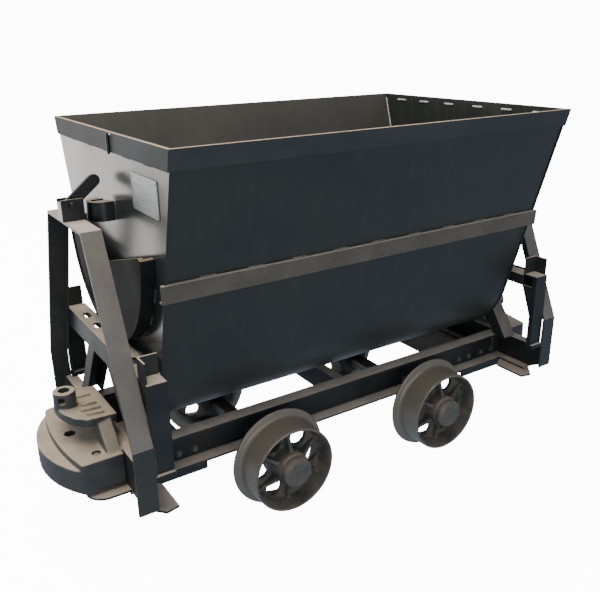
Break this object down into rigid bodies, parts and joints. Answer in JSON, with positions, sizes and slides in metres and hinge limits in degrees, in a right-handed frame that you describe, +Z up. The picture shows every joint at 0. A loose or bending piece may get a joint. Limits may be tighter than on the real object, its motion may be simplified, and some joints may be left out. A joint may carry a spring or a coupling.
{
  "type": "bucket-tipping mine cart",
  "caption": "Small rail cart with a high V-shaped steel bucket that rocks sideways on half-round rockers, spoked flanged wheels and cast link bumpers.",
  "frame": {"origin": "on the floor under the wheel flanges, at the middle of the cart", "axes": "+X along the track to the rear end, +Y to the right-hand side, +Z up"},
  "size_m": [2.076, 0.98, 1.262],
  "materials": {
    "bucket_paint": "satin dark grey paint",
    "frame_paint": "satin dark grey paint, dusty on top",
    "lock_paint": "semi-gloss black paint",
    "casting": "rough casting with a thin worn paint",
    "wheel_iron": "oiled casting",
    "axle_steel": "turned, dull",
    "plate_metal": "blank pressed plate"
  },
  "bodies": {
    "underframe": {"beam_left": "frame_paint", "beam_right": "frame_paint", "centre_tie": "frame_paint", "axle_box_front_left": "casting", "axle_box_front_right": "casting", "axle_box_rear_left": "casting", "axle_box_rear_right": "casting", "end_channel_front": "frame_paint", "under_plate_front": "frame_paint", "rocker_rail_front": "frame_paint", "end_frame_front": "frame_paint", "lock_clip_front": "lock_paint", "bumper_front": "casting", "post_front_left": "frame_paint", "post_front_right": "frame_paint", "rail_brace_front_left": "frame_paint", "rail_brace_front_right": "frame_paint", "end_channel_rear": "frame_paint", "under_plate_rear": "frame_paint", "rocker_rail_rear": "frame_paint", "end_frame_rear": "frame_paint", "lock_clip_rear": "lock_paint", "bumper_rear": "casting", "post_rear_left": "frame_paint", "post_rear_right": "frame_paint", "rail_brace_rear_left": "frame_paint", "rail_brace_rear_right": "frame_paint"},
    "bucket": {"bucket_trough": "bucket_paint", "bucket_side_left": "bucket_paint", "bucket_side_right": "bucket_paint", "bucket_rim": "bucket_paint", "ledge_angle_left": "bucket_paint", "ledge_angle_right": "bucket_paint", "bucket_end_front": "bucket_paint", "rocker_front": "bucket_paint", "lock_guide_front": "lock_paint", "bucket_end_rear": "bucket_paint", "rocker_rear": "bucket_paint", "lock_guide_rear": "lock_paint", "nameplate": "plate_metal"},
    "wheelset_front": {"axle_front": "axle_steel", "wheel_front_left": "wheel_iron", "wheel_front_right": "wheel_iron"},
    "wheelset_rear": {"axle_rear": "axle_steel", "wheel_rear_left": "wheel_iron", "wheel_rear_right": "wheel_iron"},
    "lever_front": {"lock_lever_front": "lock_paint"},
    "lever_rear": {"lock_lever_rear": "lock_paint"}
  },
  "joints": [
    {"name": "bucket_tip", "type": "hinge", "parent": "underframe", "child": "bucket", "pos_m": [0, 0, 0.9505], "axis": [1, 0, 0], "range_deg": [-40, 40]},
    {"name": "wheelset_front_roll", "type": "hinge", "parent": "underframe", "child": "wheelset_front", "pos_m": [-0.336, 0, 0.175], "axis": [0, 1, 0], "continuous": true},
    {"name": "wheelset_rear_roll", "type": "hinge", "parent": "underframe", "child": "wheelset_rear", "pos_m": [0.336, 0, 0.175], "axis": [0, 1, 0], "continuous": true},
    {"name": "lever_front_swing", "type": "hinge", "parent": "underframe", "child": "lever_front", "pos_m": [-0.8483, 0, 1.058], "axis": [0, -1, 0], "range_deg": [0, 60]},
    {"name": "lever_rear_swing", "type": "hinge", "parent": "underframe", "child": "lever_rear", "pos_m": [0.8483, 0, 1.058], "axis": [0, 1, 0], "range_deg": [0, 60]}
  ]
}
